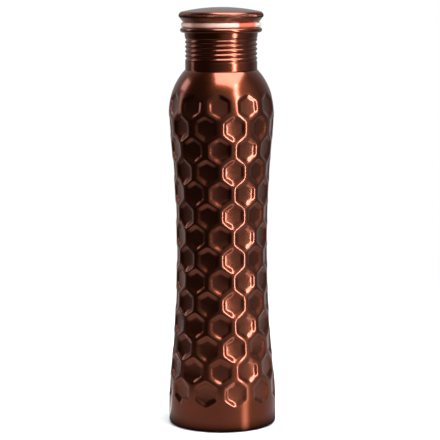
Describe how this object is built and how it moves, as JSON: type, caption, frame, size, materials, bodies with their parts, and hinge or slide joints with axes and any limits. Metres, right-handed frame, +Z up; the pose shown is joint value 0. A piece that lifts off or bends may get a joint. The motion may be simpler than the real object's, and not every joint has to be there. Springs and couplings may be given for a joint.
{
  "type": "water bottle",
  "caption": "Waisted copper water bottle, embossed with staggered hexagon dimples, with a threaded neck, curled lip, sealing ring and knurled screw cap.",
  "frame": {"origin": "middle of the foot, on the surface that the bottle stands on", "axes": "+Z up along the bottle's axis towards the cap; -Y is the side that faces the viewer"},
  "size_m": [0.074, 0.074, 0.2877],
  "materials": {
    "antique_copper": "polished",
    "bright_copper": "satin",
    "sealing_silicone": "satin"
  },
  "bodies": {
    "bottle": {"body_shell": "antique_copper", "neck_collar": "antique_copper", "base_disc": "antique_copper"},
    "seal": {"cap_gasket": "sealing_silicone"},
    "cap": {"cap_crown": "antique_copper", "cap_plug": "bright_copper"}
  },
  "joints": [
    {"name": "cap_lift", "type": "slide", "parent": "bottle", "child": "seal", "axis": [0, 0, 1], "range_m": [0, 0.02205]},
    {"name": "cap_turn", "type": "hinge", "parent": "seal", "child": "cap", "pos_m": [0, 0, 0.2825], "axis": [0, 0, 1], "range_deg": [0, 2520]}
  ],
  "couplings": [
    {"joint": "cap_turn", "follows": "cap_lift", "rad_per_m": 1994.7}
  ]
}
